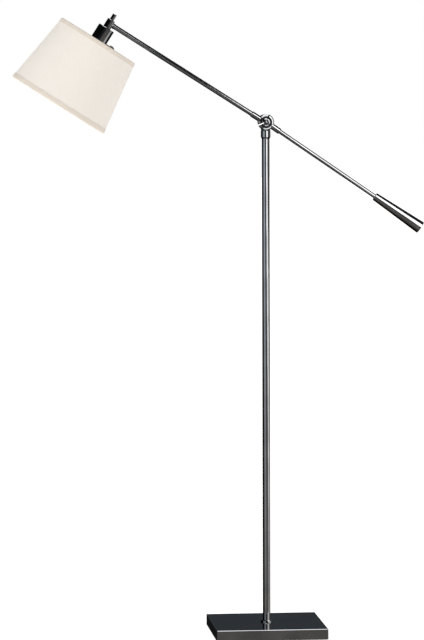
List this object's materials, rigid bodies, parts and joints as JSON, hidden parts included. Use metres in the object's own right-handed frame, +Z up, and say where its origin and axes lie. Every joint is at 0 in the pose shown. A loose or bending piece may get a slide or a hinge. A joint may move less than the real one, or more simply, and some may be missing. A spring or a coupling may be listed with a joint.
{
  "type": "adjustable arm floor lamp",
  "caption": "Floor lamp with a slab base, slim pole, friction knuckle, tilting counterweighted arm and a tapered cloth shade on a swivel head with a turn-knob switch.",
  "frame": {"origin": "centre of the base's underside, where the lamp rests on the floor", "axes": "+Z up, +X along the base's front side towards the counterweight, +Y to the back, where the cord gland is"},
  "size_m": [0.9542, 0.262, 1.4486],
  "materials": {
    "gunmetal": "polished dark gunmetal plate",
    "cast_iron": "as cast, dark",
    "felt": "black wool felt",
    "rubber": "matt black",
    "zinc_steel": "zinc plated",
    "brass": "plain brass",
    "black_moulding": "moulded, black",
    "friction_fibre": "pressed fibre",
    "shade_wire": "white painted wire",
    "shade_cloth": "cream woven cloth on a stiff backing",
    "shade_trim": "self-coloured cloth tape",
    "frosted_glass": "frosted white"
  },
  "bodies": {
    "stand": {"base_felt_pad": "felt", "base_cover": "gunmetal", "base_weight": "cast_iron", "cord_gland": "rubber", "foot_pipe": "zinc_steel", "foot_washer": "zinc_steel", "foot_nut": "zinc_steel", "foot_collar": "gunmetal", "pole_tube": "gunmetal", "pole_foot_plug": "zinc_steel", "pole_head_bush": "brass", "pole_collar": "gunmetal"},
    "turret": {"rear_disc": "gunmetal", "turret_stem": "gunmetal", "stem_washer": "zinc_steel", "stem_nut": "zinc_steel", "pivot_cap_nut": "gunmetal"},
    "clamp": {"clamp_screw": "gunmetal", "tommy_bar": "gunmetal"},
    "arm": {"front_disc": "gunmetal", "friction_ring": "friction_fibre", "clamp_washer": "gunmetal", "arm_sleeve": "gunmetal", "rod_sleeve": "gunmetal", "arm_pipe": "zinc_steel", "arm_tube": "gunmetal", "arm_tip_ferrule": "gunmetal", "arm_tip_pivot": "zinc_steel", "counter_rod": "gunmetal", "counterweight": "gunmetal"},
    "head": {"head_finial": "gunmetal", "swivel_block": "gunmetal", "head_pipe": "zinc_steel", "socket_cup": "gunmetal", "cup_locknut": "zinc_steel", "socket_body": "black_moulding", "switch_housing": "black_moulding", "screw_shell": "brass", "centre_contact": "brass", "fitter_washer": "shade_wire", "fitter_spokes": "shade_wire", "shade_retaining_ring": "black_moulding", "shade_panel": "shade_cloth", "shade_top_trim": "shade_trim", "shade_bottom_trim": "shade_trim", "shade_top_wire": "shade_wire", "shade_bottom_wire": "shade_wire", "bulb_cap": "brass", "bulb_glass": "frosted_glass"},
    "switch": {"switch_stem": "brass", "switch_knob": "black_moulding"}
  },
  "joints": [
    {"name": "pole_swivel", "type": "hinge", "parent": "stand", "child": "turret", "pos_m": [0, 0, 1.175], "axis": [0, 0, 1], "range_deg": [-170, 170]},
    {"name": "arm_tilt", "type": "hinge", "parent": "turret", "child": "arm", "pos_m": [-0.00066, -0.01509, 1.1963], "axis": [0.0436, 0.999, 0], "range_deg": [-62, 20]},
    {"name": "clamp_turn", "type": "hinge", "parent": "turret", "child": "clamp", "pos_m": [-0.00066, -0.01509, 1.1963], "axis": [-0.0436, -0.999, 0], "range_deg": [0, 270]},
    {"name": "head_swivel", "type": "hinge", "parent": "arm", "child": "head", "pos_m": [-0.36274, 0.00072, 1.42529], "axis": [-0.8426, 0.0368, 0.5373], "range_deg": [-90, 90]},
    {"name": "switch_turn", "type": "hinge", "parent": "head", "child": "switch", "pos_m": [-0.38662, 0.00177, 1.38776], "axis": [0.8426, -0.0368, -0.5373], "continuous": true}
  ]
}
